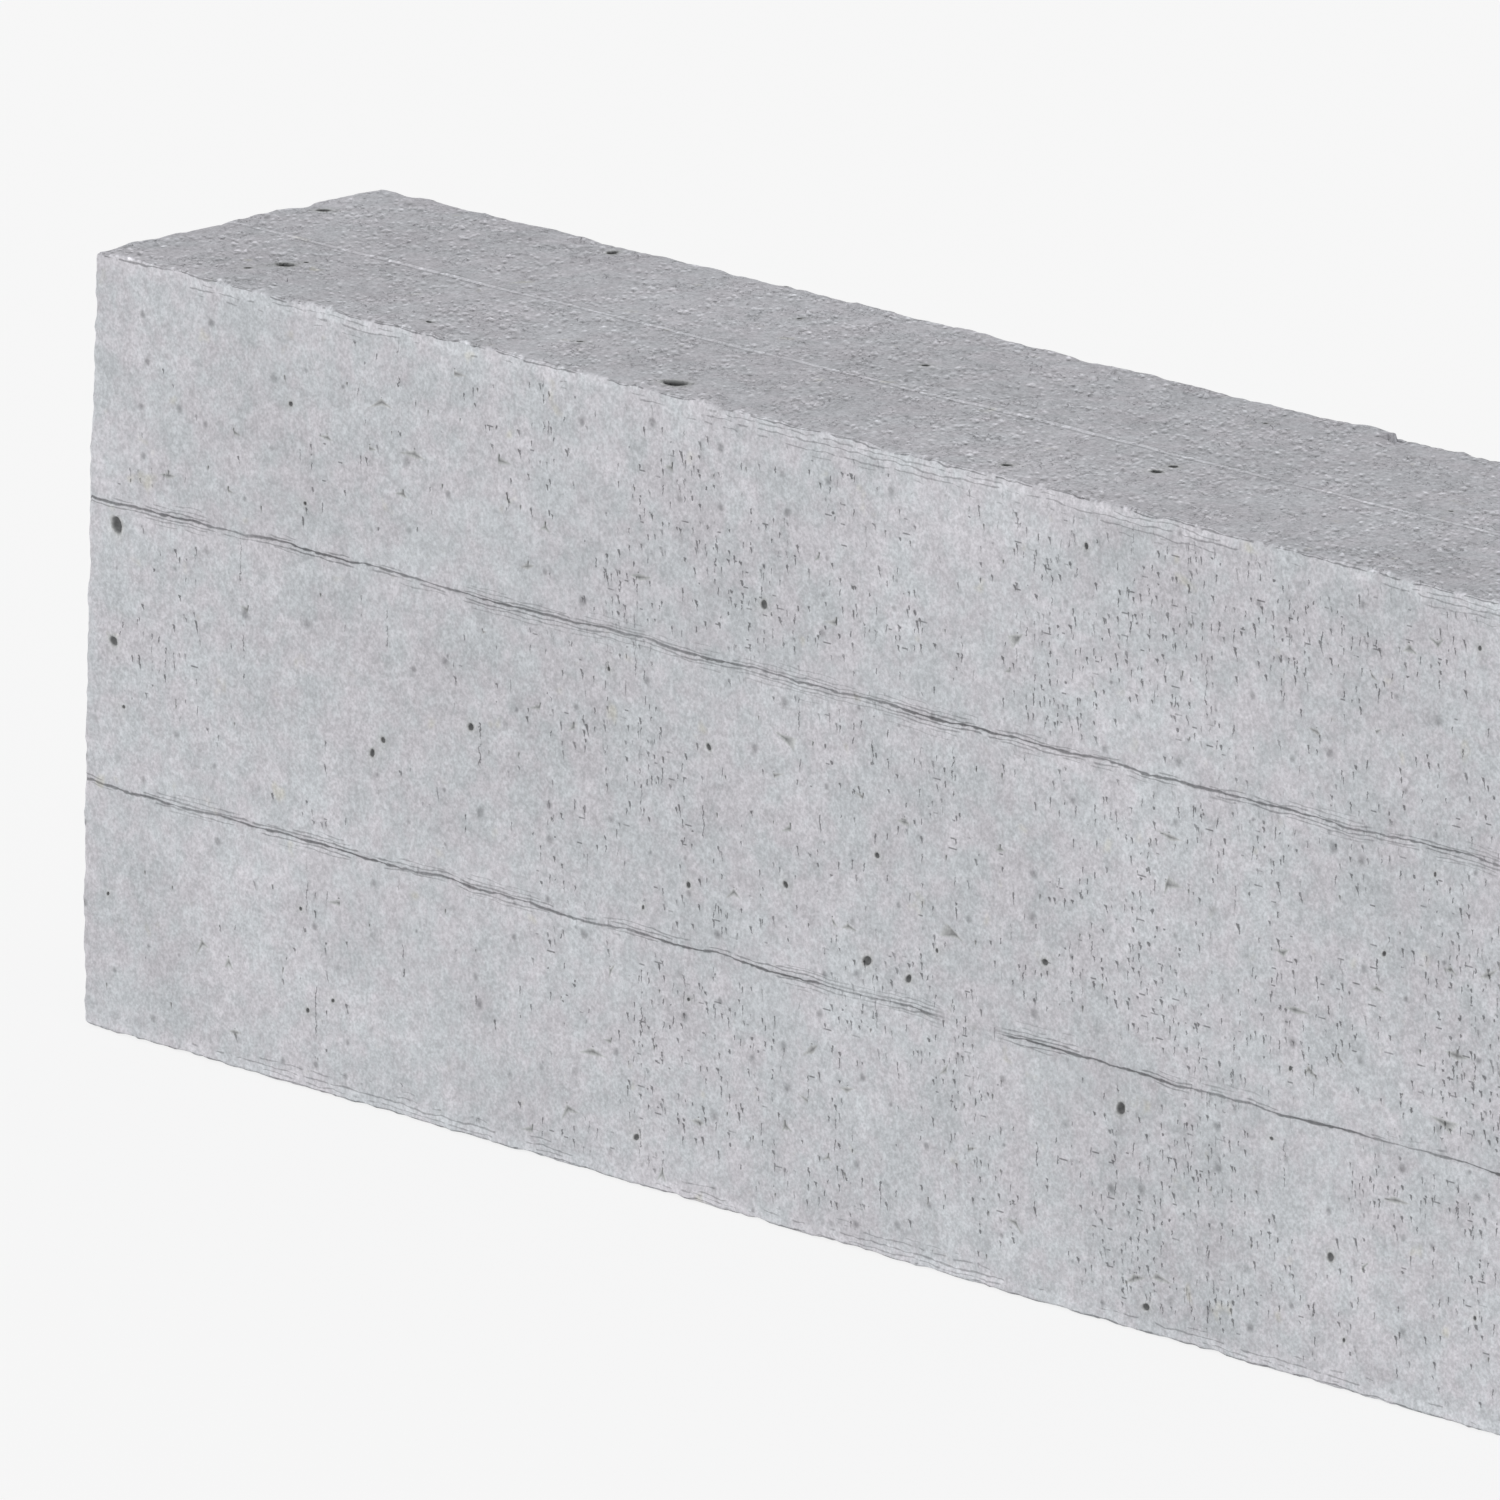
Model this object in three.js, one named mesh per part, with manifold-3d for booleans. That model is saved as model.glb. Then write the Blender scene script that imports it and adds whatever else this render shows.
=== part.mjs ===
// A precast concrete parking wheel stop: one long block, cast upside down round a cage of steel bars
// and links, with an anchor pin that slides down out of a blind sleeve near each end.
// Millimetres, +X along the block, -Y towards the parked wheel, +Z up, origin in the middle of the underside.
import * as THREE from "three";
import { mergeVertices } from "three/addons/utils/BufferGeometryUtils.js";
import Module from "manifold-3d";

// The block, with its length and width at the underside.
const LENGTH = 1800;
const WIDTH = 150;
const HEIGHT = 300;
const END_DRAFT = 8; // how far each end leans in at the top, so that the block leaves its mould
const SIDE_DRAFT = 2.5; // the same for each long side
const ARRIS = 2; // the flat that takes off every outside corner

// The cage.
const LINK_RADIUS = 3;
const LINK_BEND = 15; // radius of a link's bends, along the middle of the bar
const LINK_HALF_WIDTH = 45; // from the block's middle to the middle of a link's upright leg
const LINK_LOW = 30; // heights of the middle of a link's two flat legs
const LINK_HIGH = HEIGHT - LINK_LOW;
const LINK_COUNT = 10;
const LINK_PITCH = 185;
const HOOK_TAIL = 50;
const HOOK_STEP = 1.7; // a link drifts this far along the block on each leg, so that its hooks pass each other
const BAR_RADIUS = 5;
const BAR_NEST = 6.2; // from the centre of a link's bend to the middle of the bar that lies in it
const BAR_END_COVER = 30;

// The anchors.
const ANCHOR_X = 3 * LINK_PITCH; // half way between two links
const SLEEVE_RADIUS = 17;
const SLEEVE_BORE = 14;
const SLEEVE_LOW = 3;
const SLEEVE_HIGH = 186;
const CAP_WALL = 2;
const CAP_LAP = 12; // how far the cap comes down over the sleeve
const GUIDE_FLANGE = 2.7; // thickness
const GUIDE_HEIGHT = 20;
const PIN_RADIUS = 10;
const PIN_LOW = 1;
const PIN_LENGTH = 180;
const PIN_CHAMFER = 2;
const PIN_CLEARANCE = 0.4;
const UBAR_RADIUS = 4;
const UBAR_REACH = 20; // from the block's middle to the centre of the U-bar's bend
const UBAR_LEG_END = 48;

const GAP = 0.3; // between two pieces that touch
const CAST_GAP = 0.6; // between the concrete and what is cast into it
const CUT_PAST = 1; // how far an opening's cut runs on past the underside
const WELD = 0.001; // corners nearer than this are one corner

const LINK_SIDES = 8;
const BAR_SIDES = 12;
const ROUND_SIDES = 32;
const QUARTER_STEPS = 3; // straight steps in a quarter bend
const HOOK_STEPS = 5; // and in a hook's bend of 135 degrees

const wasm = await Module();
wasm.setup();

const concrete = new THREE.MeshStandardMaterial({ color: 0xb9bbbe, roughness: 0.9, metalness: 0 });
const rebar = new THREE.MeshStandardMaterial({ color: 0x6b4a3a, roughness: 0.75, metalness: 0.7 });
const zinc = new THREE.MeshStandardMaterial({ color: 0xa4a9ac, roughness: 0.4, metalness: 1 });
const sleevePlastic = new THREE.MeshStandardMaterial({ color: 0x74787c, roughness: 0.55, metalness: 0 });
const capPlastic = new THREE.MeshStandardMaterial({ color: 0x1d1e20, roughness: 0.5, metalness: 0 });

// ---- solids ----

// The same geometry with its shared corners merged, as one closed surface.
function closedMesh(geometry) {
  const bare = geometry.index ? geometry.toNonIndexed() : geometry.clone();
  bare.deleteAttribute("normal");
  bare.deleteAttribute("uv");
  return mergeVertices(bare, WELD);
}

function toSolid(geometry) {
  const merged = closedMesh(geometry);
  return new wasm.Manifold(
    new wasm.Mesh({
      numProp: 3,
      vertProperties: new Float32Array(merged.attributes.position.array),
      triVerts: new Uint32Array(merged.index.array),
    }),
  );
}

function toGeometry(solid) {
  const mesh = solid.getMesh();
  return new THREE.BufferGeometry()
    .setAttribute("position", new THREE.BufferAttribute(mesh.vertProperties, 3))
    .setIndex(new THREE.BufferAttribute(mesh.triVerts, 1));
}

// ---- bars ----

// A bar that runs straight from point to point. Its section is mitred at each of them.
class BentBar extends THREE.Curve {
  constructor(points) {
    super();
    this.points = points;
  }

  getPointAt(u) {
    const at = u * (this.points.length - 1);
    const i = Math.min(Math.floor(at), this.points.length - 2);
    return this.points[i].clone().lerp(this.points[i + 1], at - i);
  }

  getTangentAt(u) {
    const last = this.points.length - 1;
    const i = Math.round(u * last);
    const into = this.points[i].clone().sub(this.points[Math.max(i - 1, 0)]).normalize();
    const out = this.points[Math.min(i + 1, last)].clone().sub(this.points[i]).normalize();
    return into.add(out).normalize();
  }
}

function section(radius, sides) {
  const corners = [];
  for (let i = 0; i < sides; i++) {
    const turn = (2 * Math.PI * i) / sides;
    corners.push(new THREE.Vector2(radius * Math.cos(turn), radius * Math.sin(turn)));
  }
  return new THREE.Shape(corners);
}

// A bar of this radius along the points, each end longer by grow.
function bentBar(points, radius, sides, grow) {
  const ends = points.map((p) => p.clone());
  const n = ends.length;
  ends[0].add(points[0].clone().sub(points[1]).setLength(grow));
  ends[n - 1].add(points[n - 1].clone().sub(points[n - 2]).setLength(grow));
  const path = new BentBar(grow > 0 ? ends : points);
  return new THREE.ExtrudeGeometry(section(radius + grow, sides), {
    steps: n - 1,
    extrudePath: path,
    bevelEnabled: false,
  });
}

// The points of a bend. place turns an angle in radians into a unit vector away from the bend's centre.
function bendPoints(centre, radius, from, to, steps, place) {
  const points = [];
  for (let i = 0; i <= steps; i++) {
    const turn = from + ((to - from) * i) / steps;
    points.push(centre.clone().addScaledVector(place(turn), radius));
  }
  return points;
}

// Away from a bend's centre in a link's plane: 0 is towards the rear face, a quarter turn is up.
const acrossBlock = (turn) => new THREE.Vector3(0, Math.cos(turn), Math.sin(turn));
// The same in a U-bar's flat plane: 0 is along the block, a quarter turn is towards the rear face.
const alongGround = (turn) => new THREE.Vector3(Math.cos(turn), Math.sin(turn), 0);

const QUARTER = Math.PI / 2;
const BEND_Y = LINK_HALF_WIDTH - LINK_BEND;
const BEND_LOW_Z = LINK_LOW + LINK_BEND;
const BEND_HIGH_Z = LINK_HIGH - LINK_BEND;

// A link goes once round the cage, from a hook over the upper rear bar to a second hook beside the first.
function linkGeometry(grow = 0) {
  const bend = (step, y, z, from, to, steps) => {
    const centre = new THREE.Vector3(step * HOOK_STEP, y, z);
    return bendPoints(centre, LINK_BEND, from, to, steps, acrossBlock);
  };
  const tail = new THREE.Vector3(0, -1, -1).setLength(HOOK_TAIL);
  const firstHook = bend(-2, BEND_Y, BEND_HIGH_Z, -QUARTER / 2, QUARTER, HOOK_STEPS);
  const lastHook = bend(2, BEND_Y, BEND_HIGH_Z, 0, 1.5 * QUARTER, HOOK_STEPS);
  const points = [
    firstHook[0].clone().add(tail),
    ...firstHook,
    ...bend(-1, -BEND_Y, BEND_HIGH_Z, QUARTER, 2 * QUARTER, QUARTER_STEPS),
    ...bend(0, -BEND_Y, BEND_LOW_Z, 2 * QUARTER, 3 * QUARTER, QUARTER_STEPS),
    ...bend(1, BEND_Y, BEND_LOW_Z, 3 * QUARTER, 4 * QUARTER, QUARTER_STEPS),
    ...lastHook,
    lastHook[HOOK_STEPS].clone().add(tail),
  ];
  return bentBar(points, LINK_RADIUS, LINK_SIDES, grow);
}

const BAR_LENGTH = LENGTH - 2 * END_DRAFT - 2 * BAR_END_COVER;
const BAR_Y = BEND_Y + BAR_NEST * Math.SQRT1_2;
const BAR_LOW_Z = BEND_LOW_Z - BAR_NEST * Math.SQRT1_2;
const BAR_HIGH_Z = BEND_HIGH_Z + BAR_NEST * Math.SQRT1_2;

function barGeometry(grow = 0) {
  const radius = BAR_RADIUS + grow;
  const length = BAR_LENGTH + 2 * grow;
  return new THREE.CylinderGeometry(radius, radius, length, BAR_SIDES).rotateZ(QUARTER);
}

// A U-bar lies on the two lower bars and holds an anchor sleeve between its legs, its bend towards the wheel.
const UBAR_HALF = SLEEVE_RADIUS + UBAR_RADIUS + GAP;
const UBAR_Z = BAR_LOW_Z + BAR_RADIUS + UBAR_RADIUS + GAP;

function ubarGeometry(grow = 0) {
  const centre = new THREE.Vector3(0, -UBAR_REACH, 0);
  const leg = new THREE.Vector3(0, UBAR_LEG_END + UBAR_REACH, 0);
  const bend = bendPoints(centre, UBAR_HALF, -2 * QUARTER, 0, 2 * QUARTER_STEPS, alongGround);
  const points = [bend[0].clone().add(leg), ...bend, bend[bend.length - 1].clone().add(leg)];
  return bentBar(points, UBAR_RADIUS, BAR_SIDES, grow);
}

// ---- anchors ----

// A turned piece: its outline is [radius, height] pairs that close on themselves or on the axis.
function turned(outline) {
  const points = outline.map(([radius, height]) => new THREE.Vector2(radius, height));
  return new THREE.LatheGeometry(points, ROUND_SIDES).rotateX(QUARTER);
}

function sleeveGeometry() {
  return turned([
    [SLEEVE_BORE, SLEEVE_LOW],
    [SLEEVE_RADIUS, SLEEVE_LOW],
    [SLEEVE_RADIUS, SLEEVE_HIGH],
    [SLEEVE_BORE, SLEEVE_HIGH],
    [SLEEVE_BORE, SLEEVE_LOW],
  ]);
}

// A cup that closes the sleeve's top, so that no concrete runs in.
const CAP_RADIUS = SLEEVE_RADIUS + GAP + CAP_WALL;
const CAP_TOP = SLEEVE_HIGH + GAP + CAP_WALL;

function capGeometry() {
  const inner = SLEEVE_RADIUS + GAP;
  return turned([
    [0, CAP_TOP - CAP_WALL],
    [inner, CAP_TOP - CAP_WALL],
    [inner, SLEEVE_HIGH - CAP_LAP],
    [CAP_RADIUS, SLEEVE_HIGH - CAP_LAP],
    [CAP_RADIUS, CAP_TOP],
    [0, CAP_TOP],
  ]);
}

// A flanged bush in the sleeve's mouth, which keeps the pin upright.
function guideGeometry() {
  const bore = PIN_RADIUS + PIN_CLEARANCE;
  const body = SLEEVE_BORE - GAP;
  return turned([
    [bore, 0],
    [SLEEVE_RADIUS, 0],
    [SLEEVE_RADIUS, GUIDE_FLANGE],
    [body, GUIDE_FLANGE],
    [body, GUIDE_HEIGHT],
    [bore, GUIDE_HEIGHT],
    [bore, 0],
  ]);
}

function pinGeometry() {
  const high = PIN_LOW + PIN_LENGTH;
  return turned([
    [0, PIN_LOW],
    [PIN_RADIUS - PIN_CHAMFER, PIN_LOW],
    [PIN_RADIUS, PIN_LOW + PIN_CHAMFER],
    [PIN_RADIUS, high - PIN_CHAMFER],
    [PIN_RADIUS - PIN_CHAMFER, high],
    [0, high],
  ]);
}

// The room that a sleeve, its cap and its guide take in the concrete.
function anchorRoomGeometry() {
  const radius = SLEEVE_RADIUS + CAST_GAP;
  const capRadius = CAP_RADIUS + CAST_GAP;
  const capLow = SLEEVE_HIGH - CAP_LAP - CAST_GAP;
  return turned([
    [0, -CUT_PAST],
    [radius, -CUT_PAST],
    [radius, capLow],
    [capRadius, capLow],
    [capRadius, CAP_TOP + CAST_GAP],
    [0, CAP_TOP + CAST_GAP],
  ]);
}

// ---- the block ----

// A box with every corner taken off, which narrows evenly towards its top.
function blockGeometry() {
  const x = LENGTH / 2;
  const y = WIDTH / 2;
  const outline = new THREE.Shape(
    [
      [x - ARRIS, -y],
      [x, -y + ARRIS],
      [x, y - ARRIS],
      [x - ARRIS, y],
      [-x + ARRIS, y],
      [-x, y - ARRIS],
      [-x, -y + ARRIS],
      [-x + ARRIS, -y],
    ].map(([px, py]) => new THREE.Vector2(px, py)),
  );
  const geometry = new THREE.ExtrudeGeometry(outline, {
    depth: HEIGHT - 2 * ARRIS,
    bevelThickness: ARRIS,
    bevelSize: ARRIS,
    bevelOffset: -ARRIS,
    bevelSegments: 1,
  }).translate(0, 0, ARRIS);
  const corners = geometry.attributes.position;
  for (let i = 0; i < corners.count; i++) {
    const share = corners.getZ(i) / HEIGHT;
    const narrower = 1 - (share * END_DRAFT) / x;
    const thinner = 1 - (share * SIDE_DRAFT) / y;
    corners.setXYZ(i, corners.getX(i) * narrower, corners.getY(i) * thinner, corners.getZ(i));
  }
  return geometry;
}

// ---- where everything goes ----

const BAR_PLACES = [
  ["lower_bar_front", -BAR_Y, BAR_LOW_Z],
  ["lower_bar_rear", BAR_Y, BAR_LOW_Z],
  ["upper_bar_front", -BAR_Y, BAR_HIGH_Z],
  ["upper_bar_rear", BAR_Y, BAR_HIGH_Z],
];
const ANCHOR_PLACES = [
  ["left", -ANCHOR_X],
  ["right", ANCHOR_X],
];
const linkX = (i) => (i - (LINK_COUNT - 1) / 2) * LINK_PITCH;

// The concrete, with room for everything that is cast into it.
function castBlock() {
  const room = [];
  for (const [, y, z] of BAR_PLACES) {
    room.push(toSolid(barGeometry(CAST_GAP).translate(0, y, z)));
  }
  for (let i = 0; i < LINK_COUNT; i++) {
    room.push(toSolid(linkGeometry(CAST_GAP).translate(linkX(i), 0, 0)));
  }
  for (const [, x] of ANCHOR_PLACES) {
    room.push(toSolid(anchorRoomGeometry().translate(x, 0, 0)));
    room.push(toSolid(ubarGeometry(CAST_GAP).translate(x, 0, UBAR_Z)));
  }
  const allRoom = room.reduce((joined, piece) => joined.add(piece));
  return toGeometry(toSolid(blockGeometry()).subtract(allRoom));
}

const wheelStop = new THREE.Group();

function place(name, geometry, material, x = 0, y = 0, z = 0) {
  const mesh = new THREE.Mesh(geometry, material);
  mesh.name = name;
  mesh.position.set(x, y, z);
  wheelStop.add(mesh);
}

place("concrete_block", castBlock(), concrete);
for (const [name, y, z] of BAR_PLACES) {
  place(name, barGeometry(), rebar, 0, y, z);
}
for (let i = 0; i < LINK_COUNT; i++) {
  place(`link_${i + 1}`, linkGeometry(), rebar, linkX(i));
}
for (const [side, x] of ANCHOR_PLACES) {
  place(`anchor_u_bar_${side}`, ubarGeometry(), rebar, x, 0, UBAR_Z);
  place(`anchor_sleeve_${side}`, sleeveGeometry(), sleevePlastic, x);
  place(`sleeve_cap_${side}`, capGeometry(), capPlastic, x);
  place(`pin_guide_${side}`, guideGeometry(), capPlastic, x);
  place(`anchor_pin_${side}`, pinGeometry(), zinc, x);
}

export default wheelStop;
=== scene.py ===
"""A precast concrete parking wheel stop, cast against sawn boards, on a pale studio floor.

The CAD frame holds every piece at its real size and place. This script gives the concrete its board
marks, seams, air holes and worn arrises, the steel its ribs, and every piece its material. The concrete's
surface is worked out in millimetres on a plain box, the mould, which then takes its draft.
"""

import math
import random
from collections import namedtuple
from dataclasses import dataclass, field

import bmesh
import bpy
import numpy as np
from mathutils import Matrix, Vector, geometry, kdtree, noise


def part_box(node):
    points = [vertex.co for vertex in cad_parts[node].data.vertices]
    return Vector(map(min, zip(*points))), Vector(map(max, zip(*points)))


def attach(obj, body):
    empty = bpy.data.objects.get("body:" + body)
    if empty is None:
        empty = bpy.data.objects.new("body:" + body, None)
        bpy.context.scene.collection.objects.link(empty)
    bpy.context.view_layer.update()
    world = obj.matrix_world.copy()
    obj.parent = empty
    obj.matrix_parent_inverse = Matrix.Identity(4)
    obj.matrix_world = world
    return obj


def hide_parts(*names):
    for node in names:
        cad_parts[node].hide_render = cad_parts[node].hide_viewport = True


MM = 0.001

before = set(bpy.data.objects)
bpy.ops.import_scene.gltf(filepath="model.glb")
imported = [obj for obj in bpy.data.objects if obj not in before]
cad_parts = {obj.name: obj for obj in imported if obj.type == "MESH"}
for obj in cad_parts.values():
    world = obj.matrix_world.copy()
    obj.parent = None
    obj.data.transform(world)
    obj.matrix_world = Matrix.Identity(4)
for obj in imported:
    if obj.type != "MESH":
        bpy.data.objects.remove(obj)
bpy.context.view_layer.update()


def cad_box(node):
    """A CAD node's lowest and highest corners in millimetres."""
    return tuple(np.array(corner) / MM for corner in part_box(node))


# The mould, before its draft.
block_low, block_high = cad_box("concrete_block")
LENGTH, WIDTH, HEIGHT = (round(float(size)) for size in block_high - block_low)
MOULD_LOW = np.array([-LENGTH / 2, -WIDTH / 2, 0.0])
MOULD_HIGH = np.array([LENGTH / 2, WIDTH / 2, HEIGHT])
DRAFT = np.array([8.0, 2.5])  # how far an end and a long side lean in at the top

# How finely the surface is divided.
ARRIS_ROWS = (0.0, 0.7, 1.6, 3.2)
ARRIS_STEP = 2.2
SEAM_ROWS = (-4.5, -2.4, -1.1, -0.4, 0.0, 0.4, 1.1, 2.4, 4.5)
SEAM_STEP = 4.0
FILL_STEP = 8.5

FAR = 30.0  # stored as the distance to a seam or an arris where there is none near
FAINTEST = 0.1  # how clearly a seam shows in its faint runs
END_SWELL = 2.8  # how far an end swells at mid height
CHIP = 531  # how far along the top rear arris a piece has broken from it


# ---- smooth random values ----


def ripple(points, size, seed):
    """A smooth value from -1 to 1 at each point, which changes over about size millimetres."""
    shift = Vector((seed * 37.1, seed * 17.3, seed * 5.7))
    return np.array([noise.noise(Vector(p) / size + shift) for p in points]) * 1.6


def smooth_step(value, low, high):
    """0 below low, 1 above high, and smooth between."""
    t = np.clip((value - low) / (high - low), 0.0, 1.0)
    return t * t * (3.0 - 2.0 * t)


def on_line(u, v):
    """Points along u on the straight line at v, to take random values from."""
    return np.column_stack([u, np.full(len(u), v), np.zeros(len(u))])


# ---- what each face of the mould leaves on the concrete ----


Hole = namedtuple("Hole", "u v radius")  # a round air hole at u and v on a face
Pock = namedtuple("Pock", "u v radius tail lean")  # a small hole with a tail that runs down the face
Pimple = namedtuple("Pimple", "u v radius height")  # a small knob that stands out


@dataclass
class Seam:
    """Where two boards met: its place across the face, how deep its line is, and where it is faint."""

    v: float
    depth: float
    seed: int
    faint: tuple = ()

    def path(self, u):
        """The line's place across the face. It wavers as a sawn edge does."""
        line = on_line(u, self.v)
        return self.v + 0.8 * ripple(line, 34.0, self.seed) + 0.35 * ripple(line, 13.0, self.seed + 1)

    def strength(self, u):
        """From 0 to 1, how clearly the line shows."""
        shown = 0.85 + 0.3 * ripple(on_line(u, self.v), 45.0, self.seed + 2)
        for middle, reach in self.faint:
            shown *= FAINTEST + (1 - FAINTEST) * smooth_step(np.abs(u - middle), reach * 0.5, reach)
        return np.clip(shown, 0.0, 1.0)


@dataclass
class Face:
    """One face of the mould. u and v are the axes that it spans, and the boards run along u."""

    name: str
    axis: int
    sign: int
    u: int
    v: int
    fill: float = FILL_STEP
    seams: list = field(default_factory=list)
    holes: list = field(default_factory=list)
    pocks: list = field(default_factory=list)
    pimples: list = field(default_factory=list)

    @property
    def normal(self):
        return np.eye(3)[self.axis] * self.sign

    @property
    def turns_in(self):
        """True where u, v and the normal make a left-handed set."""
        return np.dot(np.cross(np.eye(3)[self.u], np.eye(3)[self.v]), self.normal) < 0

    def lift(self, uv):
        """The points on the mould's face at these u and v."""
        points = np.empty((len(uv), 3))
        points[:, self.axis] = MOULD_HIGH[self.axis] if self.sign > 0 else MOULD_LOW[self.axis]
        points[:, self.u] = uv[:, 0]
        points[:, self.v] = uv[:, 1]
        return points

    def nearest_seam(self, points):
        """Distance to the nearest seam, and its strength. Distance is below 0 between every second pair."""
        nearest = np.full(len(points), np.inf)
        strength = np.ones(len(points))
        side = 1.0
        for seam in self.seams:
            away = side * (points[:, self.v] - seam.path(points[:, self.u]))
            closer = np.abs(away) < np.abs(nearest)
            nearest = np.where(closer, away, nearest)
            strength = np.where(closer, seam.strength(points[:, self.u]), strength)
            side = -side
        return np.clip(nearest, -FAR, FAR), strength

    def relief(self, points):
        """How far the concrete stands out from the mould's plane."""
        gaps = np.minimum(points - MOULD_LOW, MOULD_HIGH - points)
        from_edge = np.minimum(gaps[:, self.u], gaps[:, self.v])
        near_arris = np.exp(-np.maximum(from_edge, 0.0) / 6.0)
        height = 0.25 * ripple(points, 70.0, 3 + self.axis)
        height += (0.08 + 0.75 * near_arris) * ripple(points, 11.0, 11 + self.axis)
        height += 0.30 * near_arris * ripple(points, 4.5, 21 + self.axis)
        if self.axis == 0:
            height += END_SWELL * np.sin(math.pi * np.clip(points[:, 2] / HEIGHT, 0, 1)) ** 0.7
        for seam in self.seams:
            u = points[:, self.u]
            away = points[:, self.v] - seam.path(u)
            board = np.where(away > 0, 1.0, -1.0) * np.exp(-np.abs(away) / 40.0)
            height += 0.14 * board * ripple(on_line(u, seam.v), 120.0, seam.seed + 3)
            groove = np.clip(1.0 - np.abs(away) / 0.6, 0.0, 1.0)
            lip = np.exp(-(((np.abs(away) - 1.1) / 0.7) ** 2))
            height += seam.strength(u) * (0.20 * lip - seam.depth * groove)
        return height


def down(drop):
    """The mould's z at this distance below its top."""
    return HEIGHT - drop


def along(distance, drop=0.0):
    """The mould's x whose drafted place is this far along from the upper left corner, drop below the top."""
    share_up = down(drop) / HEIGHT
    return (MOULD_LOW[0] + DRAFT[0] + distance) / (1 - share_up * DRAFT[0] / MOULD_HIGH[0])


# Air holes that show in the photo. Front: along from the upper left corner, below the top, radius.
FRONT_HOLES = (
    (11, 103, 3.0),
    (9, 148, 2.0),
    (203, 144, 1.5),
    (156, 158, 1.2),
    (356, 69, 1.7),
    (368, 171, 1.3),
    (318, 181, 1.2),
    (410, 191, 2.1),
    (431, 193.5, 1.5),
    (414.5, 151, 1.2),
    (538.5, 219.5, 2.2),
    (552, 290, 1.5),
    (643, 252, 1.7),
)
# Top: along, back from the middle, radius.
TOP_HOLES = (
    (66, -39.0, 3.2),
    (60, -53.0, 1.3),
    (68.5, -30.7, 1.0),
    (12, 33.0, 2.4),
    (167, -62.0, 1.3),
    (227, -42.4, 1.2),
    (297, -62.0, 4.3),
    (136, 65.0, 2.6),
    (509, -29.0, 2.2),
    (508, -19.0, 1.7),
    (465, -61.0, 1.8),
    (341, 24.0, 1.5),
)


def random_place(face, margin, chance):
    """A place on the face at least this far from its edges."""
    u = chance.uniform(MOULD_LOW[face.u] + margin, MOULD_HIGH[face.u] - margin)
    v = chance.uniform(MOULD_LOW[face.v] + margin, MOULD_HIGH[face.v] - margin)
    return u, v


def clear_of_seams(face, v, gap):
    return all(abs(v - seam.v) > gap for seam in face.seams)


def clear_of_holes(holes, u, v, gap, radii=1.0):
    """True if (u, v) is further from each hole than gap and its radius times radii."""
    return all(math.hypot(u - h.u, v - h.v) > gap + radii * h.radius for h in holes)


def around(cell):
    """The cell and its eight neighbours, where no second mark may lie."""
    return {(cell[0] + i, cell[1] + j) for i in (-1, 0, 1) for j in (-1, 0, 1)}


def scatter_holes(face, count, chance, keep_clear):
    """Air holes at random, small ones the most often, clear of the holes in keep_clear."""
    holes = list(keep_clear)
    while len(holes) < count + len(keep_clear):
        radius = 0.8 + 1.2 * chance.random() ** 4
        u, v = random_place(face, 12, chance)
        if clear_of_seams(face, v, 8 + radius) and clear_of_holes(holes, u, v, 3 * radius, 3):
            holes.append(Hole(u, v, radius))
    return holes


def scatter_pocks(face, count, chance):
    """Pocks at random, in clusters, none near an arris, a seam or a hole."""
    pocks = []
    taken = set()
    while len(pocks) < count:
        u, v = random_place(face, 9, chance)
        crowding = noise.noise(Vector((u, v, 0)) / 60.0 + Vector((face.axis * 7.7, 0, 0)))
        if chance.random() > 0.35 + 1.3 * crowding:
            continue
        cell = (u // 5, v // 9)
        clear = clear_of_seams(face, v, 11) and clear_of_holes(face.holes, u, v, 8)
        if clear and cell not in taken:
            taken |= around(cell)
            radius = chance.uniform(0.35, 0.75)
            tail = chance.uniform(0.8, 3.2)
            pocks.append(Pock(u, v, radius, tail, lean=chance.uniform(-0.1, 0.5)))
    return pocks


def scatter_pimples(face, count, chance):
    """Small knobs at random, in crowds, clear of holes and of each other."""
    pimples = []
    taken = set()
    while len(pimples) < count:
        u, v = random_place(face, 7, chance)
        crowding = noise.noise(Vector((u, v, 50)) / 24.0)
        if chance.random() > 0.15 + 2.0 * crowding:
            continue
        cell = (u // 4, v // 4)
        clear = clear_of_seams(face, v, 9) and clear_of_holes(face.holes, u, v, 5, 1.6)
        if clear and cell not in taken:
            taken |= around(cell)
            radius = chance.uniform(0.9, 1.9)
            pimples.append(Pimple(u, v, radius, height=radius * chance.uniform(0.35, 0.7)))
    return pimples


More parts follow.
